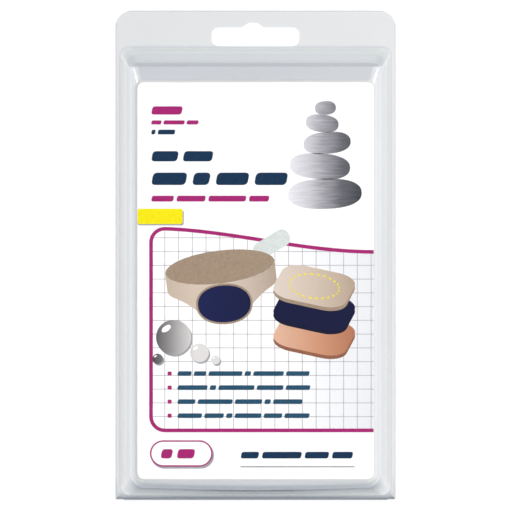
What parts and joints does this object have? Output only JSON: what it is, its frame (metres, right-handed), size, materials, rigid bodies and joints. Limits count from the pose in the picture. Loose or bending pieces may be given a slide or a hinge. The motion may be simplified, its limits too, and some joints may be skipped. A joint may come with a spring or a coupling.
{
  "type": "clamshell pack with insert card, holding a metatarsal pad",
  "caption": "Hinged clear pack with a hanging slot and a printed insert card, with a folded ball-of-foot wrap and its gel pad inside.",
  "frame": {"origin": "under the middle of the closed pack, on the surface that its back lies on", "axes": "+X to the right of the front, +Y to the edge with the hanging slot, +Z out of the front"},
  "size_m": [0.102, 0.178, 0.0194],
  "materials": {
    "clear_sheet": "clear pressed PET sheet",
    "card": "coated printed board",
    "knit": "fine beige knit",
    "loop_fabric": "brushed beige loop fabric",
    "gel": "soft navy gel with a satin skin",
    "hook_tape": "pale grey hook tape"
  },
  "bodies": {
    "root": {"back_shell": "clear_sheet", "sleeve": "knit", "loop_panel": "loop_fabric", "gel_pad": "gel", "hook_tab": "hook_tape"},
    "lid": {"front_shell": "clear_sheet", "insert_card": "card"}
  },
  "joints": [
    {"name": "lid_hinge", "type": "hinge", "parent": "root", "child": "lid", "pos_m": [0, -0.0891, 0.01015], "axis": [1, 0, 0], "range_deg": [0, 180]}
  ]
}
